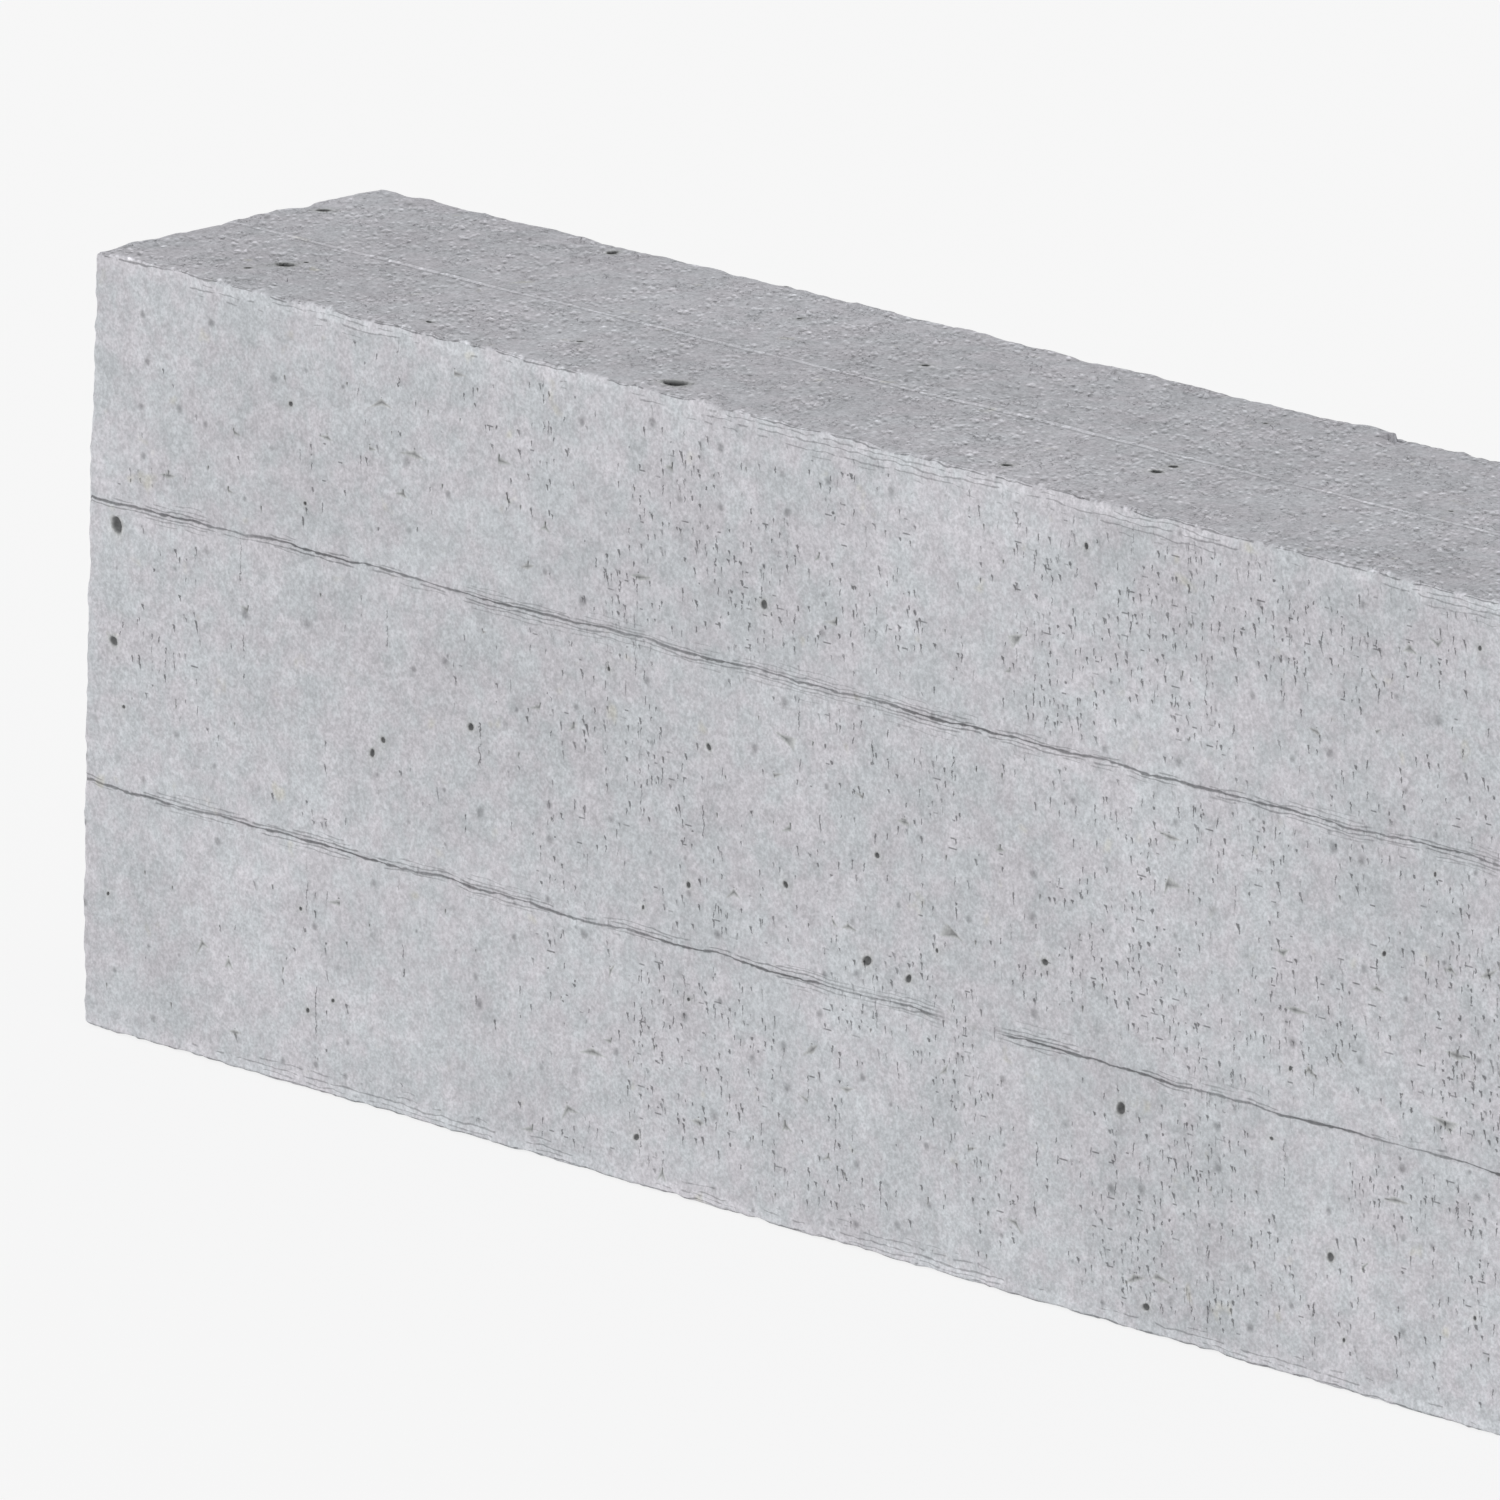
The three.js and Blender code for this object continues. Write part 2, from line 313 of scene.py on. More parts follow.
def describe_faces():
    """The six faces of the mould with their seams, air holes and pocks."""
    chance = random.Random(7)
    front = Face("front", axis=1, sign=-1, u=0, v=2)
    lower = Seam(down(204.5), 0.5, 51, faint=((along(465), 22),))
    front.seams = [Seam(down(94), 0.5, 41), lower]
    seen = [Hole(along(distance, drop), down(drop), radius) for distance, drop, radius in FRONT_HOLES]
    front.holes = scatter_holes(front, 45, chance, seen)
    front.pocks = scatter_pocks(front, 350, chance)

    rear = Face("rear", axis=1, sign=1, u=0, v=2)
    rear.seams = [Seam(down(97), 0.5, 61), Seam(down(202), 0.5, 71)]
    rear.holes = scatter_holes(rear, 60, chance, [])
    rear.pocks = scatter_pocks(rear, 250, chance)

    top = Face("top", axis=2, sign=1, u=0, v=1)
    top.seams = [Seam(-6.0, -0.25, 81)]
    seen = [Hole(along(distance), back, radius) for distance, back, radius in TOP_HOLES]
    top.holes = scatter_holes(top, 14, chance, seen)
    top.pimples = scatter_pimples(top, 1900, chance)

    underside = Face("underside", axis=2, sign=-1, u=0, v=1, fill=2 * FILL_STEP)

    left = Face("left", axis=0, sign=-1, u=1, v=2)
    right = Face("right", axis=0, sign=1, u=1, v=2)
    for seed, end in enumerate((left, right)):
        first = Seam(down(95 + 2 * seed), 0.5, 91 + 20 * seed)
        end.seams = [first, Seam(down(204), 0.5, 97 + 20 * seed)]
        end.holes = scatter_holes(end, 6, chance, [])
        end.pocks = scatter_pocks(end, 20, chance)
    return front, rear, top, underside, left, right


# ---- points on a face, and the triangles between them ----


def places_along(axis):
    """Where the points lie along an edge of the mould: close together at its ends and at the chip."""
    low = MOULD_LOW[axis]
    high = MOULD_HIGH[axis]
    inner = ARRIS_ROWS[-1] + ARRIS_STEP
    count = round((high - low - 2 * inner) / ARRIS_STEP)
    middle = np.linspace(low + inner, high - inner, count + 1)
    if axis == 0:
        at_chip = along(CHIP) + np.array([-0.3, 0.3, 1.2])
        middle = np.sort(np.append(middle, at_chip))
    ends = np.array(ARRIS_ROWS)
    return np.concatenate([low + ends, middle, high - ends[::-1]])


class FacePoints(dict):
    """A face's points by (u, v), with how deep each is sunk and how much it is part of a hole or pock."""

    def add(self, u, v, sunk=0.0, pit=0.0):
        self.setdefault((round(float(u), 4), round(float(v), 4)), (sunk, pit))


def add_rows(points, face):
    """Rows along all four edges, and along both sides of each seam."""
    for row in ARRIS_ROWS:
        for u in places_along(face.u):
            points.add(u, MOULD_LOW[face.v] + row)
            points.add(u, MOULD_HIGH[face.v] - row)
        for v in places_along(face.v):
            points.add(MOULD_LOW[face.u] + row, v)
            points.add(MOULD_HIGH[face.u] - row, v)
    inset = ARRIS_ROWS[-1] + SEAM_STEP / 2
    inner = np.arange(MOULD_LOW[face.u] + inset, MOULD_HIGH[face.u] - inset, SEAM_STEP)
    for seam in face.seams:
        for row in SEAM_ROWS:
            for u, v in zip(inner, seam.path(inner) + row):
                points.add(u, v)


# Rings round an air hole: share of its radius, share of its depth, and pit value.
HOLE_RINGS = ((0.5, 0.85, 1.0), (0.85, 0.45, 0.85), (1.0, 0.0, 0.4), (1.4, 0.0, 0.12))


def add_hole(points, hole, chance):
    """An air hole is a rough bowl with a steep wall."""
    turn = chance.uniform(0, math.pi)
    stretch = chance.uniform(0.8, 1.25)
    sides = 8 if hole.radius < 1.5 else 12
    deep = hole.radius * chance.uniform(0.8, 1.1)
    points.add(hole.u, hole.v, -deep, 1.0)
    for share, sunk, pit in HOLE_RINGS:
        for i in range(sides):
            angle = 2 * math.pi * i / sides
            radius = hole.radius * share * chance.uniform(0.92, 1.08)
            x = radius * math.cos(angle) * stretch
            y = radius * math.sin(angle) / stretch
            u = hole.u + x * math.cos(turn) - y * math.sin(turn)
            v = hole.v + x * math.sin(turn) + y * math.cos(turn)
            points.add(u, v, -deep * sunk, pit)


def add_pock(points, pock):
    """A pock's head, a ring round its deepest point, and its tail below."""
    points.add(pock.u, pock.v, -0.9 * pock.radius, 1.0)
    for i in range(5):
        angle = math.radians(-20 + 55 * i)
        points.add(pock.u + pock.radius * math.cos(angle), pock.v + pock.radius * math.sin(angle))
    tail_u = pock.u + pock.lean * pock.tail
    tail_v = pock.v - pock.radius - pock.tail
    points.add((pock.u + tail_u) / 2, (pock.v + tail_v) / 2, -0.35 * pock.radius, 0.7)
    points.add(tail_u, tail_v)


def add_pimple(points, pimple, chance):
    """A pimple's peak and the ring where it rises."""
    points.add(pimple.u, pimple.v, pimple.height)
    turn = chance.uniform(0, math.pi)
    for i in range(6):
        angle = turn + math.pi * i / 3
        radius = pimple.radius * chance.uniform(0.8, 1.2)
        points.add(pimple.u + radius * math.cos(angle), pimple.v + radius * math.sin(angle))


def add_fill(points, face, chance):
    """Points all over the rest of the face, in staggered rows."""
    taken = [(h.u, h.v, 1.6 * h.radius + 2) for h in face.holes]
    taken += [(p.u, p.v - p.tail / 2, p.radius + p.tail / 2 + 1.5) for p in face.pocks]
    taken += [(p.u, p.v, p.radius + 1.5) for p in face.pimples]
    taken = np.array(taken) if taken else np.zeros((0, 3))
    margin = ARRIS_ROWS[-1] + 0.5 * FILL_STEP
    rows = np.arange(MOULD_LOW[face.v] + margin, MOULD_HIGH[face.v] - margin, face.fill * 0.87)
    for i, v0 in enumerate(rows):
        first = MOULD_LOW[face.u] + margin + (i % 2) * face.fill / 2
        for u0 in np.arange(first, MOULD_HIGH[face.u] - margin, face.fill):
            u = u0 + chance.uniform(-1.5, 1.5)
            v = v0 + chance.uniform(-1.5, 1.5)
            if any(abs(v - seam.v) < SEAM_ROWS[-1] + 3.5 for seam in face.seams):
                continue
            if len(taken) and np.any(np.hypot(taken[:, 0] - u, taken[:, 1] - v) < taken[:, 2]):
                continue
            points.add(u, v)


def triangulate(face, chance):
    """A face's points as (u, v), its triangles, and each point's sunk depth and pit value."""
    points = FacePoints()
    add_rows(points, face)
    for hole in face.holes:
        add_hole(points, hole, chance)
    for pock in face.pocks:
        add_pock(points, pock)
    for pimple in face.pimples:
        add_pimple(points, pimple, chance)
    add_fill(points, face, chance)
    uv = np.array(list(points))
    marks = np.array(list(points.values()))
    found = geometry.delaunay_2d_cdt([Vector(p) for p in uv], [], [], 0, 1e-6)
    origin = [ids[0] for ids in found[3]]
    triangles = np.array([[origin[i] for i in tri] for tri in found[2]])
    a, b, c = (uv[triangles[:, i]] for i in range(3))
    ab, ac = b - a, c - a
    area = ab[:, 0] * ac[:, 1] - ab[:, 1] * ac[:, 0]
    triangles = triangles[np.abs(area) > 1e-7]
    area = area[np.abs(area) > 1e-7]
    wrong = (area < 0) != face.turns_in
    triangles[wrong] = triangles[wrong][:, ::-1]
    return uv, triangles, marks


# ---- the block's surface ----


def arris_radius(points):
    """How round the arris is here. It is sharp where it came clean from the mould, and worn elsewhere."""
    ragged = ripple(points, 4.0, 31)
    worn = ripple(points, 20.0, 32)
    return 1.7 + 0.6 * ragged + 0.5 * worn + 1.2 * smooth_step(ripple(points, 60.0, 33), 0.4, 1.0)


def rear_chip(points):
    """How far the top sinks where a piece has broken from its rear arris. Just before that it rises."""
    drop, rise = 2.7, 0.9
    past = points[:, 0] - along(CHIP)
    broken = smooth_step(past, -0.2, 0.2)
    shape = drop * broken * np.exp(-np.maximum(past, 0) / 30.0)
    shape -= rise * (1 - broken) * np.exp(np.minimum(past, 0) / 18.0)
    from_rear = MOULD_HIGH[1] - points[:, 1]
    return shape * smooth_step(from_rear, 14.0, 3.0)


def join_faces(faces):
    """All the faces' points, marks and triangles as one closed box. Points on an edge are shared."""
    chance = random.Random(19)
    index = {}
    points = []
    marks = []
    triangles = []
    for face in faces:
        uv, face_triangles, face_marks = triangulate(face, chance)
        own = []
        for p, mark in zip(face.lift(uv), face_marks):
            key = tuple(np.round(p, 3))
            if key not in index:
                index[key] = len(points)
                points.append(p)
                marks.append(mark)
            own.append(index[key])
        triangles.append(np.array(own)[face_triangles])
    return np.array(points), np.array(marks), np.concatenate(triangles)


def cast_surface(faces):
    """The concrete's outer skin in millimetres: points, triangles, and the values that its material reads."""
    points, marks, triangles = join_faces(faces)
    radius = arris_radius(points)[:, None]
    core = np.clip(points, MOULD_LOW + radius, MOULD_HIGH - radius)
    outward = points - core
    outward /= np.linalg.norm(outward, axis=1)[:, None]
    placed = core + radius * outward
    seam = np.full(len(points), FAR)
    strength = np.ones(len(points))
    for face in faces:
        share = outward @ face.normal
        near = share > 0.02
        height = face.relief(points[near])
        if face.name == "underside":
            height = -np.abs(height) - 0.05
        if face.name == "top":
            height -= rear_chip(points[near])
        height += marks[near, 0] * (share[near] > 0.98)
        placed[near] += (height * share[near])[:, None] * face.normal
        away, shown = face.nearest_seam(points[near])
        facing = share[near] > 0.7
        seam[near] = np.where(facing, away, seam[near])
        strength[near] = np.where(facing, shown, strength[near])
    share_up = np.clip(placed[:, 2] / HEIGHT, 0, 1)
    placed[:, 0] *= 1 - share_up * DRAFT[0] / MOULD_HIGH[0]
    placed[:, 1] *= 1 - share_up * DRAFT[1] / MOULD_HIGH[1]
    gaps = np.minimum(points - MOULD_LOW, MOULD_HIGH - points)
    from_level_arris = np.maximum(gaps[:, 2], np.minimum(gaps[:, 0], gaps[:, 1]))
    values = {
        "seam": seam,
        "beside": strength * np.clip(1.5 - np.abs(seam) / 8.0, 0.0, 1.0),
        "pit": marks[:, 1],
        "rim": np.minimum(from_level_arris, FAR),
        "up": outward[:, 2],
    }
    return placed, triangles, values


def add_object(name, mesh):
    piece = bpy.data.objects.new(name, mesh)
    bpy.context.scene.collection.objects.link(piece)
    return piece


def oversize_block():
    """The CAD block with its outside moved out, so that only the room inside it cuts the skin."""
    grown = 20.0
    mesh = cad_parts["concrete_block"].data.copy()
    shape = bmesh.new()
    shape.from_mesh(mesh)
    bmesh.ops.remove_doubles(shape, verts=shape.verts, dist=1e-6)
    for vertex in shape.verts:
        p = np.array(vertex.co) / MM
        if abs(p[0]) > MOULD_HIGH[0] - 15:
            p[0] += math.copysign(grown, p[0])
        if abs(p[1]) > MOULD_HIGH[1] - 8:
            p[1] += math.copysign(grown, p[1])
        if p[2] < 1 or p[2] > HEIGHT - 5:
            p[2] += math.copysign(grown, p[2] - HEIGHT / 2)
        vertex.co = Vector(p * MM)
    shape.to_mesh(mesh)
    shape.free()
    return add_object("room", mesh)


def set_values(mesh, known_points, values):
    """Stores each value on the mesh's points, 0 or far away on the walls of the room inside."""
    tree = kdtree.KDTree(len(known_points))
    for i, p in enumerate(known_points):
        tree.insert(Vector(p * MM), i)
    tree.balance()
    found = [tree.find(v.co) for v in mesh.vertices]
    nearest = np.array([f[1] for f in found])
    on_skin = np.array([f[2] for f in found]) < 0.5 * MM
    for name, value in values.items():
        off_skin = FAR if name in ("seam", "rim") else 0.0
        stored = np.where(on_skin, value[nearest], off_skin)
        layer = mesh.attributes.new(name, "FLOAT", "POINT")
        layer.data.foreach_set("value", stored.astype(np.float32))


def build_block():
    """The cast block, hollow where the cage and sleeves lie."""
    placed, triangles, values = cast_surface(describe_faces())
    mesh = bpy.data.meshes.new("cast_block")
    mesh.from_pydata((placed * MM).tolist(), [], triangles.tolist())
    mesh.update()
    skin = add_object("cast_block", mesh)
    room = oversize_block()
    cut = skin.modifiers.new("room", "BOOLEAN")
    cut.operation = "INTERSECT"
    cut.solver = "MANIFOLD"
    cut.object = room
    depsgraph = bpy.context.evaluated_depsgraph_get()
    mesh = bpy.data.meshes.new_from_object(skin.evaluated_get(depsgraph))
    skin.modifiers.clear()
    skin.data = mesh
    bpy.data.objects.remove(room)
    set_values(mesh, placed, values)
    mesh.shade_smooth()
    mesh.set_sharp_from_angle(angle=math.radians(38))
    return skin


# ---- the cage's ribbed bars ----


# A ribbed bar: its core's radius, how far its ribs stand out, and how far apart they are.
Rebar = namedtuple("Rebar", "core rib pitch")
LONG_BAR = Rebar(4.7, 0.45, 7.0)
LINK_BAR = Rebar(2.75, 0.30, 6.0)
U_BAR = Rebar(3.75, 0.30, 6.0)
LINK_RADIUS = 3.0  # of the CAD's plain bar
LINK_BEND = 15.0
SMOOTH_BEND = LINK_BEND - 0.25  # a true arc through the middle of the CAD's straight steps
HOOK_STEP = 1.7
HOOK_TAIL = 50.0
U_BAR_RADIUS = 4.0
RIB_ANGLES = np.radians([0, 14, 55, 90, 125, 166, 180, 194, 235, 270, 305, 346])
RIB_ROWS = ((0.0, 0.0), (0.14, 1.0), (0.32, 0.0))  # share of the pitch, and share of the rib's height
RIB_LEAN = 2.2  # how far a rib slants along the bar in half a turn, in core radii


def arc(centre, radius, start, end, place):
    """Points on a bend. place turns an angle into a vector away from the bend's centre."""
    count = max(2, round(abs(end - start) / math.radians(6)))
    return [np.array(centre) + radius * np.array(place(a)) for a in np.linspace(start, end, count + 1)]


def at_distances(path, distances):
    """The places at these distances along a path."""
    reached = np.concatenate([[0.0], np.cumsum(np.linalg.norm(np.diff(path, axis=0), axis=1))])
    return np.column_stack([np.interp(distances, reached, path[:, i]) for i in range(3)])


def ribbed_bar(name, path, rebar, sideways):
    """A bar with two ribs along it and slanted ribs across it. It never runs in the direction sideways."""
    path = np.array(path)
    length = np.linalg.norm(np.diff(path, axis=0), axis=1).sum()
    count = int((length - 2 * rebar.pitch) / rebar.pitch)
    first = (length - count * rebar.pitch) / 2
    rows = [(0.0, 0.0)]
    rows += [(first + (i + share) * rebar.pitch, crest) for i in range(count) for share, crest in RIB_ROWS]
    rows.append((length, 0.0))
    reach = np.array([row[0] for row in rows])[:, None]
    crest = np.array([row[1] for row in rows])[:, None]

    slant = 1.0 - np.abs(1.0 - RIB_ANGLES / math.pi)
    free = smooth_step(np.minimum(reach, length - reach), 0.0, 4.0 * rebar.core)
    distances = reach + RIB_LEAN * rebar.core * (slant - 0.5) * free
    across = np.abs(np.sin(RIB_ANGLES)) ** 0.7
    along_rib = (np.abs(np.sin(RIB_ANGLES)) < 0.01) * 1.0
    radius = rebar.core + rebar.rib * np.maximum(crest * across, 0.9 * along_rib)

    flat = distances.ravel()
    middle = at_distances(path, flat)
    ahead = at_distances(path, np.minimum(flat + 0.6, length))
    ahead -= at_distances(path, np.maximum(flat - 0.6, 0.0))
    ahead /= np.linalg.norm(ahead, axis=1)[:, None]
    right = np.cross(ahead, sideways)
    right /= np.linalg.norm(right, axis=1)[:, None]
    other = np.cross(right, ahead)
    angles = np.broadcast_to(RIB_ANGLES, distances.shape).ravel()[:, None]
    points = middle + radius.ravel()[:, None] * (np.cos(angles) * right + np.sin(angles) * other)

    sides = len(RIB_ANGLES)
    faces = []
    for i in range(len(rows) - 1):
        for j in range(sides):
            a = i * sides + j
            b = i * sides + (j + 1) % sides
            faces.append((a, b, b + sides, a + sides))
    faces.append(tuple(range(sides))[::-1])
    faces.append(tuple(range((len(rows) - 1) * sides, len(rows) * sides)))
    return closed_piece(name, points, faces, 35)


def closed_piece(name, points, faces, sharp_from):
    """An object from points in millimetres, its normals turned outwards, with edges sharp above an angle."""
    shape = bmesh.new()
    vertices = [shape.verts.new(Vector(p) * MM) for p in points]
    for face in faces:
        shape.faces.new([vertices[i] for i in face])
    bmesh.ops.recalc_face_normals(shape, faces=shape.faces)
    mesh = bpy.data.meshes.new(name)
    shape.to_mesh(mesh)
    shape.free()
    mesh.shade_smooth()
    mesh.set_sharp_from_angle(angle=math.radians(sharp_from))
    return add_object(name, mesh)


def long_bar(node):
    low, high = cad_box(node)
    y, z = (low[1:] + high[1:]) / 2
    return ribbed_bar("ribbed_" + node, [(low[0], y, z), (high[0], y, z)], LONG_BAR, (0, 0, 1))


def link(node):
    """Once round the cage, from a hook over the upper rear bar to a second hook beside the first."""
    low, high = cad_box(node)
    x = (low[0] + high[0]) / 2
    bend_y = high[1] - LINK_RADIUS - LINK_BEND
    bend_low = low[2] + LINK_RADIUS + LINK_BEND
    bend_high = high[2] - LINK_RADIUS - LINK_BEND
    quarter = math.pi / 2

    def bend(step, y, z, start, end):
        centre = (x + step * HOOK_STEP, y, z)
        return arc(centre, SMOOTH_BEND, start, end, lambda a: (0, math.cos(a), math.sin(a)))

    tail = np.array([0, -1, -1]) * HOOK_TAIL / math.sqrt(2)
    first_hook = bend(-2, bend_y, bend_high, -quarter / 2, quarter)
    last_hook = bend(2, bend_y, bend_high, 0, 1.5 * quarter)
    path = [first_hook[0] + tail, *first_hook]
    path += bend(-1, -bend_y, bend_high, quarter, 2 * quarter)
    path += bend(0, -bend_y, bend_low, 2 * quarter, 3 * quarter)
    path += bend(1, bend_y, bend_low, 3 * quarter, 4 * quarter)
    path += [*last_hook, last_hook[-1] + tail]
    return ribbed_bar("ribbed_" + node, path, LINK_BAR, (1, 0, 0))


def u_bar(node):
    """Round an anchor sleeve, with its bend towards the wheel."""
    low, high = cad_box(node)
    x, _, z = (low + high) / 2
    reach = (high[0] - low[0]) / 2 - U_BAR_RADIUS
    bend_y = low[1] + U_BAR_RADIUS + reach
    bend = arc((x, bend_y, z), reach, -math.pi, 0, lambda a: (math.cos(a), math.sin(a), 0))
    ends = [(bend[0][0], high[1], z), (bend[-1][0], high[1], z)]
    return ribbed_bar("ribbed_" + node, [ends[0], *bend, ends[1]], U_BAR, (0, 0, 1))


# ---- the turned anchor pieces ----


def eased(outline, size):
    """The outline with each corner eased over this size. Points on the axis stay."""
    outline = np.array(outline, float)
    eased_outline = []
    for before, here, after in zip(np.roll(outline, 1, axis=0), outline, np.roll(outline, -1, axis=0)):
        if here[0] == 0:
            eased_outline.append(here)
            continue
        start, end = (
            here + way * min(0.45, size / np.linalg.norm(way)) for way in (before - here, after - here)
        )
        eased_outline += [start, 0.25 * start + 0.5 * here + 0.25 * end, end]
    return eased_outline


def turned_piece(name, x, outline, ease, flutes=0, flute_depth=0.0, fluted_from=math.inf, sides=72):
    """An outline of (radius, height) turned about the upright axis at x, and fluted beyond fluted_from."""
    points = []
    rings = []
    for radius, height in eased(outline, ease):
        if radius == 0:
            rings.append([len(points)] * sides)
            points.append((x, 0, height))
            continue
        rings.append(list(range(len(points), len(points) + sides)))
        for j in range(sides):
            angle = 2 * math.pi * j / sides
            cut = flute_depth * (0.5 - 0.5 * math.cos(flutes * angle)) if radius > fluted_from else 0.0
            reach = radius - cut
            points.append((x + reach * math.cos(angle), reach * math.sin(angle), height))
    faces = []
    for i, ring in enumerate(rings):
        following = rings[(i + 1) % len(rings)]
        if len(set(ring + following)) == 2:  # both rings are points on the axis
            continue
        for j in range(sides):
            k = (j + 1) % sides
            faces.append(tuple(dict.fromkeys((ring[j], ring[k], following[k], following[j]))))
    return closed_piece(name, points, faces, 40)


def anchor(side):
    """A sleeve with grooves that key it to the concrete, its cap, the pin's guide, and the pin."""
    low, high = cad_box("anchor_sleeve_" + side)
    x = (low[0] + high[0]) / 2
    outside = (high[0] - low[0]) / 2
    bore = outside - 3.0
    outline = [(bore, low[2]), (outside, low[2])]
    groove = outside - 0.9
    for z in np.arange(low[2] + 24, high[2] - 16, 9.0):
        outline += [(outside, z), (groove, z + 1.2), (groove, z + 3.2), (outside, z + 4.4)]
    outline += [(outside, high[2]), (bore, high[2])]
    sleeve = turned_piece("moulded_sleeve_" + side, x, outline, 0.5)

    low, high = cad_box("sleeve_cap_" + side)
    wide = (high[0] - low[0]) / 2
    inside = outside + 0.3
    dish = high[2] - 0.7
    outline = [(0, high[2] - 2), (inside, high[2] - 2), (inside, low[2])]
    outline += [(wide, low[2]), (wide, high[2]), (7, high[2]), (6, dish), (0, dish)]
    cap = turned_piece("moulded_cap_" + side, x, outline, 0.6, 24, 0.7, outside + 1.2)

    low, high = cad_box("pin_guide_" + side)
    pin_low, pin_high = cad_box("anchor_pin_" + side)
    pin_radius = (pin_high[0] - pin_low[0]) / 2
    hole = pin_radius + 0.4
    body = bore - 0.3
    flange = low[2] + 2.7
    groove = body - 0.6
    outline = [(hole + 1.5, low[2]), (outside, low[2]), (outside, flange), (body, flange)]
    for z in low[2] + np.array([7.0, 11.0, 15.0]):
        outline += [(body, z - 1), (groove, z - 0.4), (groove, z + 0.4), (body, z + 1)]
    outline += [(body, high[2]), (hole, high[2]), (hole, low[2] + 1.5)]
    guide = turned_piece("moulded_guide_" + side, x, outline, 0.5, 18, 0.5, outside - 1.0)

    foot = pin_low[2]
    head = pin_high[2]
    outline = [(0, foot), (pin_radius - 2.4, foot), (pin_radius, foot + 2.4)]
    groove = pin_radius - 0.5
    for z in (head - 14, head - 9):
        outline += [(pin_radius, z - 1), (groove, z - 0.3), (groove, z + 0.3), (pin_radius, z + 1)]
    outline += [(pin_radius, head - 2), (pin_radius - 2, head), (0, head)]
    pin = turned_piece("steel_pin_" + side, x, outline, 0.8)
    return sleeve, cap, guide, pin


# ---- materials ----


class Shader:
    """A material whose nodes are made by short calls. An argument is a number or another node's output."""

    def __init__(self, name):
        self.material = bpy.data.materials.new(name)
        self.material.use_nodes = True
        self.tree = self.material.node_tree
        self.tree.nodes.clear()
        self.surface = self.node("ShaderNodeBsdfPrincipled")
        output = self.node("ShaderNodeOutputMaterial")
        self.tree.links.new(self.surface.outputs[0], output.inputs[0])
        coordinates = self.node("ShaderNodeTexCoord")
        self.place = self.vector("SCALE", coordinates.outputs["Object"], scale=1 / MM)

    def node(self, kind, *values, **settings):
        """A new node with these settings, its inputs fed in order. None leaves an input as it is."""
        made = self.tree.nodes.new(kind)
        for name, value in settings.items():
            setattr(made, name, value)
        for socket, value in zip(made.inputs, values):
            self.feed(socket, value)
        return made

    def put(self, **values):
        """Sets inputs of the surface shader, such as Base_Color."""
        for name, value in values.items():
            self.feed(self.surface.inputs[name.replace("_", " ")], value)

    def feed(self, socket, value):
        if isinstance(value, bpy.types.NodeSocket):
            self.tree.links.new(value, socket)
        elif value is not None:
            socket.default_value = value

    def math(self, operation, a, b=None):
        return self.node("ShaderNodeMath", a, b, operation=operation).outputs[0]

    def vector(self, operation, a, b=None, scale=None):
        return self.node("ShaderNodeVectorMath", a, b, None, scale, operation=operation).outputs[0]

    def joined(self, x, y, z=0.0):
        """A vector from its three parts."""
        return self.node("ShaderNodeCombineXYZ", x, y, z).outputs[0]

    def parts(self, vector):
        return tuple(self.node("ShaderNodeSeparateXYZ", vector).outputs)

    def turned(self, place):
        """The place turned by an eighth of a turn about Z."""
        made = self.node("ShaderNodeVectorRotate", place, rotation_type="Z_AXIS")
        made.inputs["Angle"].default_value = -math.pi / 4
        return made.outputs[0]

    def noise(self, size, detail=2.0, roughness=0.5, seed=0, place=None):
        """Smooth noise from 0 to 1, around 0.5, which changes over about size millimetres."""
        place = place or self.place
        values = (place, 7.3 * seed, 1 / size, detail, roughness)
        return self.node("ShaderNodeTexNoise", *values, noise_dimensions="4D").outputs[0]

    def wobble(self, reach, size, detail, roughness, seed, place=None):
        """Noise around 0 that seldom goes beyond reach / 4."""
        return self.product(self.minus(self.noise(size, detail, roughness, seed, place), 0.5), reach)

    def cells(self, size, place, **settings):
        """Random points about size apart: the place of the nearest, and three random numbers of its own."""
        made = self.node("ShaderNodeTexVoronoi", place, None, 1 / size, **settings)
        numbers = self.node("ShaderNodeSeparateColor", made.outputs["Color"])
        return made.outputs["Position"], tuple(numbers.outputs[:3])

    def spots(self, size, place):
        """The way from the nearest of a face's random points, along and up, and the point's own numbers."""
        nearest, numbers = self.cells(size, place, voronoi_dimensions="2D")
        across, above, _ = self.parts(self.vector("SUBTRACT", place, nearest))
        return across, above, numbers

    def line(self, away, width, dark=1.0):
        """dark in the middle of a line width millimetres across, and 0 beyond it."""
        inner = self.math("MULTIPLY", width, 0.25)
        outer = self.math("MULTIPLY", width, 0.75)
        return self.ramp(self.math("ABSOLUTE", away), inner, outer, dark, 0.0)

    def plus(self, a, b):
        return self.math("ADD", a, b)

    def minus(self, a, b):
        return self.math("SUBTRACT", a, b)

    def hypot(self, a, b):
        """The length of a way with these two parts."""
        return self.math("SQRT", self.plus(self.product(a, a), self.product(b, b)))

    def product(self, *factors):
        """All the factors multiplied."""
        result = factors[0]
        for factor in factors[1:]:
            result = self.math("MULTIPLY", result, factor)
        return result

    def most(self, *values):
        """The largest of the values."""
        result = values[0]
        for value in values[1:]:
            result = self.math("MAXIMUM", result, value)
        return result

    def ramp(self, value, low, high, start=0.0, end=1.0):
        """start below low, end above high, and smooth between."""
        values = (value, low, high, start, end)
        return self.node("ShaderNodeMapRange", *values, interpolation_type="SMOOTHSTEP").outputs[0]

